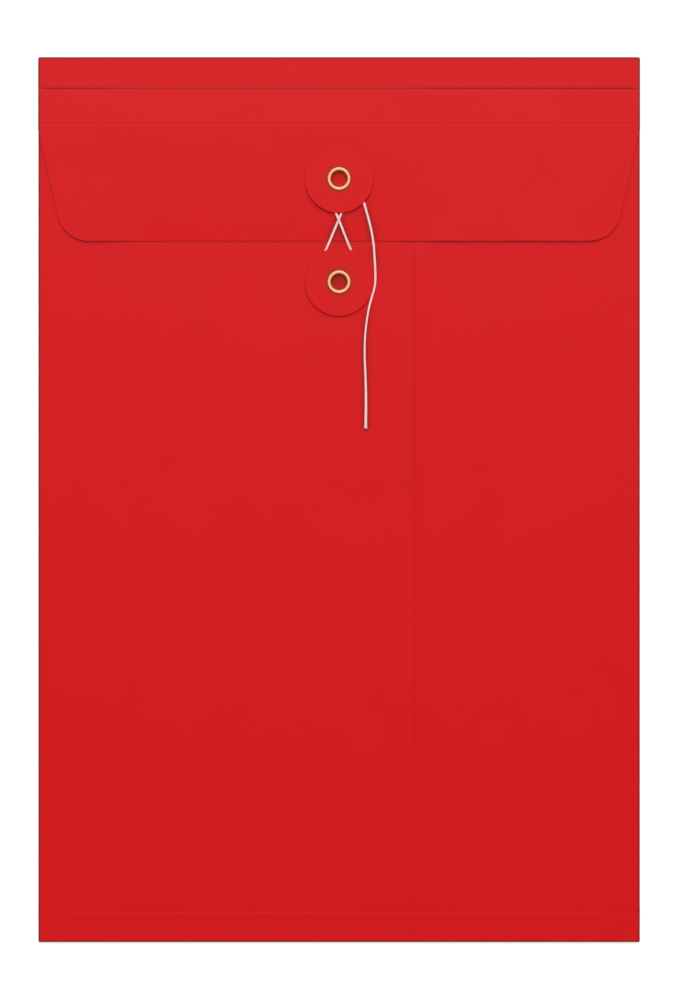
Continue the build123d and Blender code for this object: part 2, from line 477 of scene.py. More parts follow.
def makePiece(name, points, quads, material, paintedLightShadeTarnish=None, sharpAngle=38.0):
    mesh = bpy.data.meshes.new(name)
    mesh.from_pydata((points * mm).tolist(), [], quads.tolist())
    work = bmesh.new()
    work.from_mesh(mesh)
    bmesh.ops.recalc_face_normals(work, faces=work.faces)
    work.to_mesh(mesh)
    work.free()
    mesh.polygons.foreach_set("use_smooth", np.ones(len(mesh.polygons), dtype=bool))
    mesh.set_sharp_from_angle(angle=math.radians(sharpAngle))
    keepPlace(mesh)
    if paintedLightShadeTarnish is not None:
        layer = mesh.attributes.new("paintedLightShadeTarnish", "FLOAT", "POINT")
        layer.data.foreach_set("value", np.asarray(paintedLightShadeTarnish, dtype=np.float32).ravel())
    mesh.materials.append(material)
    piece = bpy.data.objects.new(name, mesh)
    scene.collection.objects.link(piece)
    return piece


def shell(name, upper, lower, ring=False, paintedLightShadeTarnish=None, material=redPaper, slot="red_paper"):
    # two faces of paper, each a grid of points, and the cut edges that join their rims
    rows, columns = upper.shape[:2]
    count = rows * columns
    cells = gridQuads(rows, columns, ring)
    index = np.arange(count).reshape(rows, columns)
    if ring:
        loops = [index[:, 0], index[:, -1]]
    else:
        loops = [np.concatenate([index[0, :-1], index[:-1, -1], index[-1, :0:-1], index[:0:-1, 0]])]
    rims = [np.stack([a, np.roll(a, -1), np.roll(a, -1) + count, a + count], axis=1) for a in loops]
    points = np.concatenate([upper.reshape(-1, 3), lower.reshape(-1, 3)])
    if paintedLightShadeTarnish is not None:
        faces = paintedLightShadeTarnish if isinstance(paintedLightShadeTarnish, tuple) else (paintedLightShadeTarnish, paintedLightShadeTarnish)
        paintedLightShadeTarnish = np.concatenate([np.broadcast_to(face, (rows, columns)).ravel() for face in faces])
    quads = np.concatenate([cells, cells[:, ::-1] + count, *rims])
    return makePiece(name, points, quads, material, paintedLightShadeTarnish)


def spread(low, high, count):
    # steps that are short near both ends
    return low + (high - low) * (1 - np.cos(np.pi * np.linspace(0, 1, count))) / 2


def smooth(low, high, value):
    share = np.clip((value - low) / (high - low), 0, 1)
    return share * share * (3 - 2 * share)


def lifted(plan, height):
    # a flat plan of x and y raised to the height that belongs to each point, and the same one ply lower
    x, y = plan[..., 0], plan[..., 1]
    z = np.broadcast_to(height(x, y), x.shape)
    return np.stack([x, y, z], axis=-1), np.stack([x, y, z - paper], axis=-1)


def rowPlan(ys, left, right, columns):
    # rows of points at each y, from the left outline to the right one
    share = spread(0, 1, columns)[None, :]
    x = left + (right - left) * share + np.zeros((len(ys), 1))
    return np.stack([x, np.broadcast_to(ys[:, None], x.shape)], axis=-1)


def holedPlan(outline, centre, holeRadius, rings, crowding=1.6):
    # straight spokes from a round hole to each point of the outline, with short steps near the hole
    out = outline - centre
    hole = centre + holeRadius * out / np.linalg.norm(out, axis=1, keepdims=True)
    share = (np.linspace(0, 1, rings) ** crowding)[None, :, None]
    return hole[:, None] + (outline - hole)[:, None] * share


def band(centreLine, thickness):
    # a line in a plane thickened by half on each side, square to its direction
    along = np.gradient(centreLine, axis=0)
    along /= np.linalg.norm(along, axis=1, keepdims=True)
    across = np.stack([-along[:, 1], along[:, 0]], axis=1)
    return centreLine + across * thickness / 2, centreLine - across * thickness / 2


def carried(profile, stations, axis):
    # a profile carried straight along x or y: its first number lies across, its second is the height
    grid = np.empty((len(stations), len(profile), 3))
    grid[..., axis] = stations[:, None]
    grid[..., 1 - axis] = profile[None, :, 0]
    grid[..., 2] = profile[None, :, 1]
    return grid


def arc(centre, radius, first, last, count):
    turn = np.radians(np.linspace(first, last, count))
    return np.stack([centre[0] + radius * np.cos(turn), centre[1] + radius * np.sin(turn)], axis=1)


def attach(piece, body, *nodes):
    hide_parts(*nodes)
    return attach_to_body(piece, body)


def bendPaper(piece, first, second, start, end):
    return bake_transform(piece)


# The string: the route of the solid, with both stretches as one line
stringSetup = {
    "diameter": 0.9,
    "length": 248.0,
    "rest": 0.05,
    "edgeDrop": 0.5,  # the flap's edge hangs this far below its top
    "crossingRise": 0.55,  # the upper leg over the flap's string at the crossing
    "knotTurn": (3.75, 267.0, -50.0, 6),  # radius, first corner and step in degrees, corners
    "lowerTurn": (9.2, 179.4, 45.3, 5),
    "upperTurn": (6.4, 179.4, -46.5, 4),
    "plies": 3,
    "plyRadius": 0.25,
    "plyOffset": 0.23,  # from the string's middle to a ply's middle
    "pitch": 2.6,
    "order": 3,  # of the spline
    "splineSteps": 24,
    "step": 0.14,
    "sides": 8,
    "sharpAngle": 80.0,
    "frayLength": 2.5,
    "frayShare": 0.35,
    "slackLength": 26.0,  # the twist loosens towards the cut end
    "slackShare": 0.2,
    "thinShare": 0.18,  # and is tightest in the middle of the tail
    "thinPlace": 40.0,  # from the cut end
    "thinReach": 18.0,
    "pressedShare": 0.35,  # of its height that is left under a washer
    "pressedFrom": (15.0, 12.6),  # from a washer's middle
}


def eyeletCentre(node):
    low, high = nodeBox(node)
    return (low[:2] + high[:2]) / 2


upperCentre = eyeletCentre("upper_eyelet")
lowerCentre = eyeletCentre("lower_eyelet")


def stringRoute(setup):
    onFlap = flapTop + setup["rest"] + setup["diameter"] / 2
    onBack = leftHigh[2] + setup["rest"] + setup["diameter"] / 2
    overString = onFlap + setup["crossingRise"]
    onEdge = onFlap - setup["edgeDrop"]

    def turn(centre, height, radius, first, step, count):
        # corners of a polygon drawn round a circle
        angle = np.radians(first + step * np.arange(count))
        corner = radius / math.cos(math.radians(step / 2))
        spots = centre + corner * np.stack([np.cos(angle), np.sin(angle)], axis=1)
        return np.column_stack([spots, np.full(count, height)])

    down = [(3.55, 117.55, onFlap), (2.0, 111.65, onFlap), (-3.2, 99.2, onEdge), (-5.7, 93.3, onBack)]
    up = [
        (5.0, 93.6, onBack),
        (0.8, 104.2, overString),
        (-0.4, 107.2, overString),
        (-1.65, 110.15, onFlap),
        (-4.75, 116.75, onFlap),
    ]
    tail = [
        (9.5, 112.8, onFlap),
        (10.95, 107.85, onFlap),
        (12.25, 102.7, onFlap),
        (13.15, 97.7, onEdge),
        (13.5, 92.5, onBack),
        (13.85, 86.9, onBack),
        (13.8, 81.7, onBack),
        (12.4, 77.1, onBack),
        (11.05, 71.7, onBack),
        (9.95, 63.7, onBack),
        (9.65, 55.7, onBack),
        (10.1, 46.7, onBack),
        (10.3, 36.95, onBack),
        (10.15, 27.1, onBack),
    ]
    return np.concatenate([
        turn(upperCentre, onFlap, *setup["knotTurn"]),
        down,
        turn(lowerCentre, onBack, *setup["lowerTurn"]),
        up,
        turn(upperCentre, onFlap, *setup["upperTurn"]),
        tail,
    ])


def splinePoints(route, setup):
    # points read from one smooth line that has the route as its control points
    curve = bpy.data.curves.new("stringLine", "CURVE")
    curve.dimensions = "3D"
    line = curve.splines.new("NURBS")
    line.points.add(len(route) - 1)
    line.points.foreach_set("co", np.column_stack([route, np.ones(len(route))]).ravel())
    line.order_u = setup["order"]
    line.use_endpoint_u = True
    line.resolution_u = setup["splineSteps"]
    guide = bpy.data.objects.new("stringLine", curve)
    scene.collection.objects.link(guide)
    mesh = bpy.data.meshes.new_from_object(guide)
    found = np.empty(len(mesh.vertices) * 3)
    mesh.vertices.foreach_get("co", found)
    bpy.data.objects.remove(guide)
    bpy.data.curves.remove(curve)
    bpy.data.meshes.remove(mesh)
    return found.reshape(-1, 3)


def evenly(points, step):
    # the same line with points at equal steps
    run = np.concatenate([[0], np.cumsum(np.linalg.norm(np.diff(points, axis=0), axis=1))])
    mark = np.linspace(0, run[-1], int(run[-1] / step) + 1)
    return mark, np.stack([np.interp(mark, run, points[:, k]) for k in range(3)], axis=1)


def makeString(setup):
    # each ply's middle turns round the line once a pitch, and a round section follows it
    run, line = evenly(splinePoints(stringRoute(setup), setup), setup["step"])
    tall = np.ones(len(line))
    for centre, sheetTop in ((upperCentre, flapTop), (lowerCentre, leftHigh[2])):
        under = smooth(*setup["pressedFrom"], np.hypot(*(line[:, :2] - centre).T))
        left = 1 - under * (1 - setup["pressedShare"])
        line[:, 2] = sheetTop + (line[:, 2] - sheetTop) * left
        tall = np.minimum(tall, left)
    along = np.gradient(line, axis=0)
    along /= np.linalg.norm(along, axis=1, keepdims=True)
    side = np.cross(along, [0.0, 0.0, 1.0])
    side /= np.linalg.norm(side, axis=1, keepdims=True)
    rise = np.cross(side, along) * tall[:, None]
    left = run[-1] - run
    fray = 1 + setup["frayShare"] * smooth(setup["frayLength"], 0, left)
    girth = 1 + setup["slackShare"] * smooth(setup["slackLength"], 0, left)
    girth -= setup["thinShare"] * np.exp(-(((left - setup["thinPlace"]) / setup["thinReach"]) ** 2))
    around = np.linspace(0, 2 * np.pi, setup["sides"], endpoint=False)
    points, quads, uv = [], [], []
    for ply in range(setup["plies"]):
        twist = 2 * np.pi * (run / setup["pitch"] + ply / setup["plies"])
        offset = (setup["plyOffset"] * fray * girth)[:, None]
        middle = line + offset * (np.cos(twist)[:, None] * side + np.sin(twist)[:, None] * rise)
        section = np.cos(around)[:, None] * side[:, None] + np.sin(around)[:, None] * rise[:, None]
        skin = middle[:, None] + (setup["plyRadius"] * girth)[:, None, None] * section
        points.append(skin.reshape(-1, 3))
        cells = gridQuads(len(run), setup["sides"], tube=True)
        quads.append(cells + ply * len(points[0]))
        uv.append(np.column_stack([
            np.repeat(run * mm, setup["sides"]),
            np.tile(np.arange(setup["sides"]) / setup["sides"], len(run)) + ply,
        ]))
    points, quads, uv = np.concatenate(points), np.concatenate(quads), np.concatenate(uv)
    piece = makePiece("string", points, quads, whiteCotton, sharpAngle=setup["sharpAngle"])
    corner = np.empty(len(piece.data.loops), dtype=np.int32)
    piece.data.loops.foreach_get("vertex_index", corner)
    layer = piece.data.uv_layers.new(name="plyRun")
    layer.data.foreach_set("uv", uv[corner].astype(np.float32).ravel())
    attach(piece, "flap_tongue", "string_winding", "string_tail")
    print("string ready,", round(float(run[-1]), 1), "mm long")
    return line


stringLine = makeString(stringSetup)
nearSetup = {
    "skip": 8,  # points of the string's line from one that is looked at to the next
    "reach": (6.0, 3.5),  # from the string
    "washers": (13.8, 16.0),  # from a washer's middle
    "flapEdge": (1.4, 2.6),  # below the flap's edge
}


def markNear(piece, setup, underFlap):
    # where the string's painted shade goes: 1 on the upper face beside the bare string, 0 by the washers,
    # below the flap's edge and elsewhere
    spots = np.empty(len(piece.data.vertices) * 3)
    piece.data.vertices.foreach_get("co", spots)
    spots = spots.reshape(-1, 3)[:, :2] / mm
    bare, share = stringLine[:: setup["skip"], :2], 1.0
    for centre in (upperCentre, lowerCentre):
        bare = bare[np.hypot(*(bare - centre).T) > setup["washers"][0]]
        share = share * smooth(*setup["washers"], np.hypot(*(spots - centre).T))
    gap = np.min([np.hypot(*(spots - place).T) for place in bare], axis=0)
    share = share * smooth(*setup["reach"], gap)
    if underFlap:
        share = share * smooth(*setup["flapEdge"], tongueLow[1] - spots[:, 1])
    share[len(share) // 2 :] = 0  # the lower face
    layer = piece.data.attributes.new("nearString", "FLOAT", "POINT")
    layer.data.foreach_set("value", share.astype(np.float32))


# The sheet of paper, panel by panel
scoreHalf = 1.7  # half the width of the strip that bends at a scored line
scoreBlend = 0.3  # half the width over which one side's painted light passes into the other's
scoreSteps = (120, 41)  # along a scored line and across it
foldEnd = 0.3  # a panel stops this far inside its folded edge
foldSteps = (40, 15)  # along a folded edge and round it
gussetX = gussetFrontLow[0]
gussetRows = 60

frontSetup = {
    "outerRadius": bendHigh[1] - bendLow[1],
    "wallTop": 1.45,
    "insideShade": 0.3,  # painted shade on the inner face, seen through the lower eyelet
    "cornerRadius": 0.7,
    "rows": 60,
    "bendRows": 14,
    "columns": 60,
}


def cornerInset(y, radius=frontSetup["cornerRadius"]):
    # how far the rounded top corners leave the outline at each y
    past = np.clip(y - (topY - radius), 0, radius)
    return radius - np.sqrt(radius**2 - past**2)


def makeFront(setup):
    # flat, then a quarter circle up to the wall that the flap's spine stands on; the inside has painted
    # shade
    radius = setup["outerRadius"] - paper / 2
    flat = spread(baseY + scoreHalf, bendLow[1], setup["rows"])
    line = np.concatenate([
        np.column_stack([flat, np.full(len(flat), paper / 2)]),
        arc((bendLow[1], setup["outerRadius"]), radius, -90, 0, setup["bendRows"])[1:],
        [(topY - paper / 2, setup["wallTop"])],
    ])
    inner, outer = band(line, paper)
    bare = line[:, 0] > gussetFrontHigh[1]  # above the gussets
    edge = np.where(bare, halfWidth - cornerInset(line[:, 0]), halfWidth - foldEnd)
    share = spread(-1, 1, setup["columns"])

    def sheet(profile):
        x = edge[:, None] * share[None, :]
        return np.stack([x, *(np.broadcast_to(profile[:, k : k + 1], x.shape) for k in range(2))], axis=-1)

    piece = shell("frontPanel", sheet(inner), sheet(outer), paintedLightShadeTarnish=(-setup["insideShade"], 0.0))
    attach(piece, "front", "front_panel", "top_fold")


def makeGussets():
    # flat strips whose tops slant across the fold
    for side, sign in (("left", -1), ("right", 1)):
        for half, low, high in (
            ("front", gussetFrontLow, gussetFrontHigh),
            ("rear", gussetRearLow, gussetRearHigh),
        ):
            name = f"{side}_gusset_{half}"
            edges = np.array([low[0] + foldEnd, high[0] - foldEnd])
            middleTop = throatY + halfWidth - gussetX
            outerTop = high[1] if half == "front" else throatY
            tops = np.interp(edges, [low[0], high[0]], [middleTop, outerTop])
            share = spread(0, 1, gussetRows)[:, None]
            x = np.broadcast_to(sign * edges[None, :], (gussetRows, 2))
            y = low[1] + (tops[None, :] - low[1]) * share
            upper, lower = lifted(np.stack([x, y], axis=-1), lambda x, y: high[2])
            attach(shell(f"{side}Gusset{half.title()}", upper, lower), name, name)


backSetup = {
    "holeRadius": 3.2,
    "seamPress": 0.1,  # how far the glued seam sinks towards the bottom
    "seamLift": 0.28,  # and stands off towards the flap
    "seamWidth": 7.0,
    "pressFrom": 0.45,  # of the way from the middle of the envelope to the base
    "liftFull": 80.0,  # the height at which it stands off most
    "liftEnd": (104.0, 88.0),  # and sinks again under the flap
    "seamShade": 0.17,
    "shadeWidth": 0.3,
    "acrossSteps": 80,
    "upSteps": 140,
    "rings": 70,
    "seamRows": 120,
    "seamColumns": 60,
}


def makeBack(setup):
    # the left panel with its hole, and the right panel over it
    low, high = baseY + scoreHalf, throatY
    left, right = -halfWidth + foldEnd, leftHigh[0]
    wide, tall = setup["acrossSteps"], setup["upSteps"]
    sides = [
        np.column_stack([spread(left, right, wide), np.full(wide, low)]),
        np.column_stack([np.full(tall, right), spread(low, high, tall)]),
        np.column_stack([spread(right, left, wide), np.full(wide, high)]),
        np.column_stack([np.full(tall, left), spread(high, low, tall)]),
    ]
    outline = np.concatenate([s[:-1] for s in sides])
    plan = holedPlan(outline, lowerCentre, setup["holeRadius"], setup["rings"])
    upper, lower = lifted(plan, lambda x, y: leftHigh[2])
    piece = shell("backPanelLeft", upper, lower, ring=True, material=shadedPaper)
    markNear(piece, nearSetup, underFlap=True)
    attach(piece, "back", "back_panel_left")

    def seamHeight(x, y):
        near = smooth(setup["seamWidth"], 0, x - seamX)
        press = smooth(setup["pressFrom"] * low, low, y)
        lift = smooth(low, setup["liftFull"], y) * smooth(*setup["liftEnd"], y)
        return rightHigh[2] + near * (setup["seamLift"] * lift - setup["seamPress"] * press)

    plan = rowPlan(spread(low, high, setup["seamRows"]), seamX, halfWidth - foldEnd, setup["seamColumns"])
    upper, lower = lifted(plan, seamHeight)
    # painted shade along the right panel's cut edge at the seam
    shade = -setup["seamShade"] * np.exp(-(((plan[..., 0] - seamX) / setup["shadeWidth"]) ** 2))
    attach(shell("backPanelRight", upper, lower, paintedLightShadeTarnish=shade), "back", "back_panel_right")


baseSetup = {
    "meetHeight": 0.70,  # the front and rear strips' rounded ends meet here
    "cornerRadius": 0.6,
    "edgeRound": 0.45,  # rows crowd into this much of the bottom edge
    "sideRound": 0.275,
    "rows": 14,
    "columns": 60,
}


def roundDrop(depth, radius):
    # how far a rounded edge has fallen at a depth inside it
    short = np.clip(1 - depth / radius, 0, 1)
    return radius * (1 - np.sqrt(1 - short * short))


def edgeSteps(low, high, radius, count, both=False, edgeCount=9):
    # rows that crowd into the rounded edge at the low end, or at both ends
    turn = radius * (1 - np.cos(np.linspace(0, np.pi / 2, edgeCount)))
    middle = np.linspace(low + radius, high - radius * both, count)[1:]
    if both:
        return np.concatenate([low + turn, middle[:-1], (high - turn)[::-1]])
    return np.concatenate([low + turn, middle])


def makeBase(setup):
    # strips that round over towards each other at the bottom edge
    ys = edgeSteps(bottomY, baseY - scoreHalf, setup["edgeRound"], setup["rows"])
    corner = setup["cornerRadius"]
    inset = corner - np.sqrt(np.maximum(corner**2 - np.maximum(bottomY + corner - ys, 0) ** 2, 0))
    for name, body, node, left, right, top in (
        ("baseRearLeft", "base_rear", "base_rear_left", -halfWidth, baseLeftHigh[0], baseLeftHigh[2]),
        ("baseRearRight", "base_rear", "base_rear_right", baseRightLow[0], halfWidth, baseRightHigh[2]),
        ("baseFront", "base_front", "base_front", -halfWidth, halfWidth, paper),
    ):
        xs = edgeSteps(left, right, setup["sideRound"], setup["columns"], both=True)
        share = (xs - left) / (right - left)
        low = left + inset * (left == -halfWidth)
        high = right - inset * (right == halfWidth)
        x = low[:, None] + (high - low)[:, None] * share[None, :]
        plan = np.stack([x, np.broadcast_to(ys[:, None], x.shape)], axis=-1)
        front = node == "base_front"
        fall = setup["meetHeight"] - paper if front else top - paper - setup["meetHeight"]

        def height(x, y):
            ends = [x - low[:, None]] * int(left == -halfWidth)
            ends += [high[:, None] - x] * int(right == halfWidth)
            sides = sum(roundDrop(e, setup["sideRound"]) for e in ends)
            drop = np.maximum(roundDrop(y - bottomY, fall), sides)
            return top + (drop if front else -drop)

        upper, lower = lifted(plan, height)
        attach(shell(name, upper, lower), body, node)


flapSetup = {
    "straight": 27.6,  # below the top edge
    "taper": 13.0,
    "cornerRadius": 12.0,
    "holeRadius": 3.2,
    "droopPower": 1.3,  # how evenly it falls from the second score to the edge
    "droop": 0.58,
    "leftDroop": -0.08,
    "leftFrom": (70.0, 100.0),  # from the middle
    "rightDroop": -0.25,  # right of the seam, where the rear panel is a ply higher
    "rightFrom": (18.0, 40.0),
    # painted light: the band is drawn a little lighter than the tongue and the spine
    "bandPaintedLight": 0.06,
    "sideSteps": 4,
    "slantSteps": 24,
    "cornerSteps": 24,
    "edgeSteps": 90,
    "rings": 60,
    "stripRows": 16,
    "stripColumns": 80,
}


def tongueOutline(setup, high):
    # down the right side, round the corner, along the edge, and the mirror image back up
    taper = math.radians(setup["taper"])
    radius = setup["cornerRadius"]
    straightY = topY - setup["straight"]
    edgeY = tongueLow[1]
    cornerX = halfWidth - (straightY - edgeY) * math.tan(taper)
    tangent = radius / math.tan((math.pi / 2 + taper) / 2)
    middle = (cornerX - tangent, edgeY + radius)
    corner = arc(middle, radius, -setup["taper"], -90, setup["cornerSteps"])
    side = np.linspace((halfWidth, high), (halfWidth, straightY), setup["sideSteps"])
    slant = np.linspace((halfWidth, straightY), corner[0], setup["slantSteps"])
    half = np.concatenate([side[:-1], slant[:-1], corner[:-1]])
    edge = np.linspace(corner[-1], corner[-1] * (-1, 1), setup["edgeSteps"])
    mirrored = (half * (-1, 1))[::-1]
    head = np.linspace((-halfWidth, high), (halfWidth, high), setup["edgeSteps"])
    return np.concatenate([half, edge, mirrored, head[1:-1]])


def makeFlap(setup):
    # the tongue falls towards its edge as a power of the way down, less at its sides; both strips are flat
    high = secondScoreY - scoreHalf

    def tongueHeight(x, y):
        run = (high - y) / (high - tongueLow[1])
        share = np.clip(run, 0, 1) ** setup["droopPower"]
        right = (setup["droop"] - setup["rightDroop"]) * smooth(*setup["rightFrom"], x)
        left = (setup["droop"] - setup["leftDroop"]) * smooth(*setup["leftFrom"], -x)
        return flapTop - share * (setup["droop"] - right - left)

    plan = holedPlan(tongueOutline(setup, high), upperCentre, setup["holeRadius"], setup["rings"])
    upper, lower = lifted(plan, tongueHeight)
    piece = shell("flapTongue", upper, lower, ring=True, material=shadedPaper)
    markNear(piece, nearSetup, underFlap=False)
    attach(piece, "flap_tongue", "flap_tongue")
    for name, node, low, high, paintedLightShadeTarnishValues in (
        ("flapBand", "flap_band", secondScoreY + scoreHalf, firstScoreY - scoreHalf, setup["bandPaintedLight"]),
        ("flapSpine", "flap_spine", firstScoreY + scoreHalf, topY - topFoldSetup["reach"], 0.0),
    ):
        plan = rowPlan(spread(low, high, setup["stripRows"]), -halfWidth, halfWidth, setup["stripColumns"])
        upper, lower = lifted(plan, lambda x, y: flapTop)
        attach(shell(name, upper, lower, paintedLightShadeTarnish=paintedLightShadeTarnishValues), node, node)


# Strips of paper where two panels meet
topFoldSetup = {
    "outerRadius": 0.45,
    "reach": 0.65,  # from the top edge to the flat of the spine
    "wallTop": frontSetup["wallTop"],
    "bendRows": 12,
    "columns": 60,
}


def makeTopFold(setup):
    # up the wall, a quarter circle, and a short flat
    radius = setup["outerRadius"] - paper / 2
    middle = (topY - setup["outerRadius"], flapTop - setup["outerRadius"])
    line = np.concatenate([
        [(topY - paper / 2, setup["wallTop"])],
        arc(middle, radius, 0, 90, setup["bendRows"]),
        [(topY - setup["reach"], flapTop - paper / 2)],
    ])
    inner, outer = band(line, paper)
    faces = [carried(face, spread(-halfWidth, halfWidth, setup["columns"]), 0) for face in (outer, inner)]
    for face in faces:
        face[..., 0] *= 1 - cornerInset(face[..., 1]) / halfWidth
    piece = shell("topFold", *faces)
    bendPaper(piece, "front", "flap_spine", (0, *line[0]), (0, *line[-1]))


# a shade is a painted dark line and a highlight a painted light one: how strong, how far below the score,
# and how wide
scoreSetup = {
    "first": {
        "y": firstScoreY, "depth": 0.02, "width": 0.3,
        "middleShare": 0.55, "middleFrom": (-95.0, -75.0), "middleTo": (38.0, 24.0),
        "endShare": 0.3, "endInset": (0.6, 2.6),
        "shade": (0.7, -0.18, 0.42), "paintedHighlight": (0.27, 0.56, 0.18),
        "paintedLightShadeTarnishValues": (0.0, flapSetup["bandPaintedLight"]), "bodies": ("flap_spine", "flap_band"),
    },
    "second": {
        "y": secondScoreY, "depth": 0.028, "width": 0.7, "shade": (0.0, 0.0, 1.0), "paintedHighlight": (0.0, 0.5, 0.4),
        "paintedLightShadeTarnishValues": (flapSetup["bandPaintedLight"], 0.0), "bodies": ("flap_band", "flap_tongue"),
    },
    "base": {
        "y": baseY, "depth": 0.06, "endShare": 0.2, "endReach": 25.0, "width": 0.55,
        "shade": (0.0, 0.0, 1.0), "paintedHighlight": (0.0, 0.4, 0.5), "paintedLightShadeTarnishValues": (0.0, 0.0),
    },
}


def makeScore(name, left, right, score, depth, top, bodies, rise=1):
    # a groove pressed into the paper: its depth falls off as a bell curve away from the line
    across = np.linspace(-scoreHalf, scoreHalf, scoreSteps[1])
    bell = np.exp(-((across / score["width"]) ** 2)) * (1 - (across / scoreHalf) ** 2)
    xs = spread(left, right, scoreSteps[0])
    deep = depth(xs)[:, None]
    y = np.broadcast_to(score["y"] - across[None, :], (len(xs), len(across)))
    x = np.broadcast_to(xs[:, None], y.shape)
    z = top - rise * deep * bell[None, :]
    upper = np.stack([x, y, z], axis=-1)
    above, below = score["paintedLightShadeTarnishValues"]
    paintedLightShadeTarnish = above + (below - above) * smooth(-scoreBlend, scoreBlend, across)[None, :]
    # painted shade along the groove and a painted highlight just below it
    for sign, (most, place, width) in ((-1, score["shade"]), (1, score["paintedHighlight"])):
        line = sign * most * np.exp(-(((across - place) / width) ** 2))
        paintedLightShadeTarnish = paintedLightShadeTarnish + deep / score["depth"] * line[None, :]
    piece = shell(name, upper, upper - (0, 0, paper), paintedLightShadeTarnish=paintedLightShadeTarnish)
    bendPaper(piece, *bodies, (0, y[0, 0], top), (0, y[0, -1], top))


def makeScores(setup):
    first, second, base = setup["first"], setup["second"], setup["base"]

    def firstDepth(x):
        middle = smooth(*first["middleFrom"], x) * smooth(*first["middleTo"], x)
        inner = smooth(*first["endInset"], halfWidth - np.abs(x))
        share = first["endShare"] + (1 - first["endShare"]) * inner
        return first["depth"] * share * (1 - (1 - first["middleShare"]) * middle)

    def secondDepth(x):
        return np.full(len(x), second["depth"])

    def baseDepth(x):
        inner = smooth(0, base["endReach"], halfWidth - np.abs(x))
        return base["depth"] * (base["endShare"] + (1 - base["endShare"]) * inner)

    makeScore("firstScore", -halfWidth, halfWidth, first, firstDepth, flapTop, first["bodies"])
    makeScore("secondScore", -halfWidth, halfWidth, second, secondDepth, flapTop, second["bodies"])
    rear, front = ("back", "base_rear"), ("front", "base_front")
    makeScore("baseScoreLeft", -halfWidth, leftHigh[0], base, baseDepth, leftHigh[2], rear)
    makeScore("baseScoreRight", seamX, halfWidth, base, baseDepth, rightHigh[2], rear)
    makeScore("baseScoreFront", -halfWidth, halfWidth, base, baseDepth, paper, front, rise=-1)


def foldLine(edgeX, sign, lowZ, highZ, inward=1):
    # in at the lower ply, a half circle out to the edge, and in again at the upper ply
    radius = (highZ - lowZ) / 2
    middle = (edgeX - inward * sign * (radius + paper / 2), (lowZ + highZ) / 2)
    turn = arc((0, middle[1]), radius, -90, 90, foldSteps[1])
    x = middle[0] + inward * sign * turn[:, 0]
    end = edgeX - inward * sign * foldEnd
    line = np.column_stack([x, turn[:, 1]])
    if foldEnd > radius + paper / 2:
        line = np.concatenate([[(end, lowZ)], line, [(end, highZ)]])
    return line


def makeSideFolds():
    # half circles of paper that join the plies along the sides
    frontZ, backZ = frontHigh[2] - paper / 2, {-1: leftHigh[2] - paper / 2, 1: rightHigh[2] - paper / 2}
    gussetZ = (gussetFrontHigh[2] - paper / 2, gussetRearHigh[2] - paper / 2)
    middleTop = throatY + halfWidth - gussetX
    low = gussetFrontLow[1]
    for side, sign in (("left", -1), ("right", 1)):
        front, rear = f"{side}_gusset_front", f"{side}_gusset_rear"
        for name, edge, inward, lowZ, highZ, top, bodies in (
            ("FrontFold", halfWidth, 1, frontZ, gussetZ[0], gussetFrontHigh[1], ("front", front)),
            ("InnerFold", gussetX, -1, *gussetZ, middleTop, (front, rear)),
            ("BackFold", halfWidth, 1, gussetZ[1], backZ[sign], throatY, (rear, "back")),
        ):
            line = foldLine(sign * edge, sign, lowZ, highZ, inward)
            outer, inner = band(line, paper)
            ys = spread(low, top, foldSteps[0])
            piece = shell(f"{side}{name}", carried(outer, ys, 1), carried(inner, ys, 1))
            if side == "right" and name == "BackFold":  # the loop of folds is open here
                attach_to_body(piece, "back")
            else:
                bendPaper(piece, *bodies, (sign * edge, 0, lowZ), (sign * edge, 0, highZ))


makeFront(frontSetup)
makeGussets()
makeBack(backSetup)
makeBase(baseSetup)
makeFlap(flapSetup)
makeTopFold(topFoldSetup)
makeScores(scoreSetup)
makeSideFolds()
for tuck in ("left_tuck_front", "left_tuck_rear", "right_tuck_front", "right_tuck_rear"):
    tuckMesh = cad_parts[tuck].data
    tuckMesh.materials.clear()
    tuckMesh.materials.append(redPaper)
    keepPlace(tuckMesh)
print("paper ready")


# The closure
def revolved(name, profile, centre, segments, material, wave=None, paintedLightShadeTarnish=None, sharpAngle=50.0):
    # a closed profile of radius and height turned once round an upright axis; wave may shift it by angle
    turn = np.linspace(0, 2 * np.pi, segments, endpoint=False)[:, None]
    radius = np.broadcast_to(profile[None, :, 0], (segments, len(profile)))
    height = np.broadcast_to(profile[None, :, 1], radius.shape)
    if wave is not None:
        radius, height = wave(turn, radius, height)
    x, y = centre[0] + radius * np.cos(turn), centre[1] + radius * np.sin(turn)
    points = np.stack([x, y, height], axis=-1)
    quads = gridQuads(segments, len(profile), ring=True, tube=True)
    paintedLightShadeTarnishValues = None if paintedLightShadeTarnish is None else np.broadcast_to(paintedLightShadeTarnish, (segments, len(profile)))
    return makePiece(name, points.reshape(-1, 3), quads, material, paintedLightShadeTarnishValues, sharpAngle)


pressedDown = 1.1  # washers and crowns squeeze the string, so they sit lower than the solids

washerSetup = {
    "edgeRound": 0.08,
    "rimShade": 0.7,  # painted shade round the eyelet's rolled rim
    "rimShadeRadius": 4.5,
    "rimShadeReach": 0.9,
    "boreRadius": 3.23,
    "fineRadius": 7.0,  # rings are closer together inside it
    "rings": (26, 20),
    "edgeSteps": 7,
    "boreSteps": 5,
    "segments": 160,
}


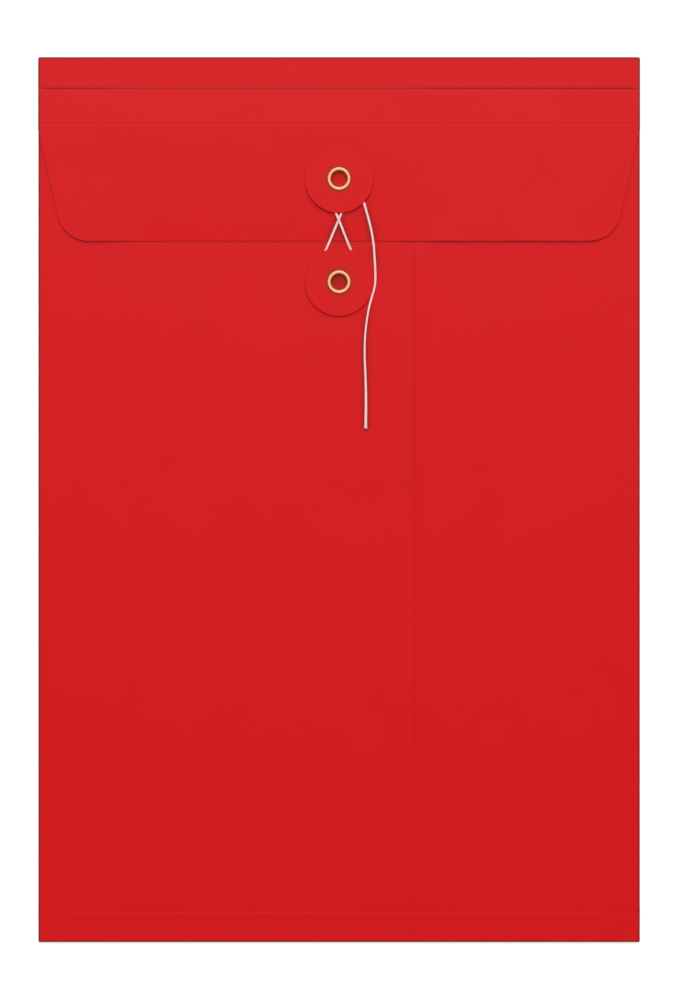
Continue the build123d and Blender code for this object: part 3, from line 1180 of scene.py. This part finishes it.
def makeWasher(name, node, centre, body, setup):
    # a flat disc with soft edges and painted shade round its middle
    low, high = nodeBox(node)
    outer = (high[0] - low[0]) / 2
    low[2] -= pressedDown
    high[2] -= pressedDown
    soft = setup["edgeRound"]
    inside = setup["boreRadius"] + soft
    fine, (inner, outward) = setup["fineRadius"], setup["rings"]
    flats = np.concatenate([np.linspace(inside, fine, inner), np.linspace(fine, outer - soft, outward)[1:]])
    profile = np.concatenate([
        np.column_stack([flats, np.full(len(flats), low[2])]),
        arc((outer - soft, low[2] + soft), soft, -90, 0, setup["edgeSteps"])[1:],
        arc((outer - soft, high[2] - soft), soft, 0, 90, setup["edgeSteps"]),
        np.column_stack([flats, np.full(len(flats), high[2])])[-2::-1],
        arc((inside, high[2] - soft), soft, 90, 180, setup["boreSteps"])[1:],
        arc((inside, low[2] + soft), soft, 180, 270, setup["boreSteps"])[:-1],
    ])
    # painted shade round the eyelet's rim, fading outwards
    past = np.maximum(profile[:, 0] - setup["rimShadeRadius"], 0) / setup["rimShadeReach"]
    rimShade = setup["rimShade"] * np.exp(-past * past)
    piece = revolved(name, profile, centre, setup["segments"], redCard, paintedLightShadeTarnish=rimShade)
    attach(piece, body, node)


eyeletSetup = {
    "bore": 2.9,
    "boreEnd": 2.6,  # it narrows towards the clenched end
    "barrel": 3.15,
    "crown": 4.4,
    "rollTop": 3.85,  # the radius at which the rolled rim is highest
    "rollHeight": 0.7,
    "rollUnder": 45.0,  # degrees that it turns in under itself
    "throat": 1.4,  # from the top of the roll down to the straight bore
    "tarnishShadeStart": 3.45,
    "tarnishShadeEnd": 3.0,
    "clench": 4.2,
    "clenchHeight": 0.45,
    "clenchEdge": 0.12,
    "petals": 8,
    "petalDepth": 0.12,
    "splitPower": 8,  # the higher, the narrower the split between petals
    "roundSteps": 22,
    "boreSteps": 8,
    "segments": 128,
}


def makeEyelet(name, node, centre, body, setup):
    # a thin barrel with a rolled rim and a clenched foot whose edge is split into soft petals
    low, high = nodeBox(node)
    top, sheetZ = high[2] - pressedDown, low[2] + setup["clenchHeight"]

    def oval(middle, wide, tall, first, last):
        turn = np.radians(np.linspace(first, last, setup["roundSteps"]))
        return np.column_stack([middle[0] + wide * np.cos(turn), middle[1] + tall * np.sin(turn)])

    peak, tall = setup["rollTop"], setup["rollHeight"]
    roll = oval((peak, top - tall), setup["crown"] - peak, tall, -setup["rollUnder"], 90)
    tall = setup["throat"]
    throat = oval((peak, top - tall), peak - setup["bore"], tall, 90, 180)[1:]
    footMiddle = ((setup["boreEnd"] + setup["clench"]) / 2, sheetZ - setup["clenchEdge"])
    footWide, tall = (setup["clench"] - setup["boreEnd"]) / 2, setup["clenchHeight"] - setup["clenchEdge"]
    foot = oval(footMiddle, footWide, tall, 180, 360)
    bore = np.linspace(throat[-1], foot[0], setup["boreSteps"])[1:-1]
    barrel = [(setup["clench"], sheetZ), (setup["barrel"], sheetZ), (setup["barrel"], roll[0, 1])]
    profile = np.concatenate([roll, throat, bore, foot, barrel])

    def petals(turn, radius, height):
        share = smooth(setup["barrel"], setup["clench"], radius) * (height < sheetZ)
        split = np.abs(np.cos(turn * setup["petals"] / 2)) ** setup["splitPower"]
        return radius - setup["petalDepth"] * split * share, height

    # tarnish and painted shade on the inside of the roll, the throat and the bore
    tarnishShade = np.zeros(len(profile))
    inner = slice(len(roll), len(roll) + len(throat) + len(bore))
    tarnishShade[inner] = smooth(setup["tarnishShadeStart"], setup["tarnishShadeEnd"], profile[inner, 0])
    piece = revolved(name, profile, centre, setup["segments"], paleBrass, petals, tarnishShade)
    attach(piece, body, node)


for place, centre, body in (("upper", upperCentre, "flap_tongue"), ("lower", lowerCentre, "back")):
    makeWasher(f"{place}Washer", f"{place}_washer", centre, f"{place}_washer", washerSetup)
    makeEyelet(f"{place}Eyelet", f"{place}_eyelet", centre, body, eyeletSetup)
print("closure ready")

bpy.context.view_layer.update()
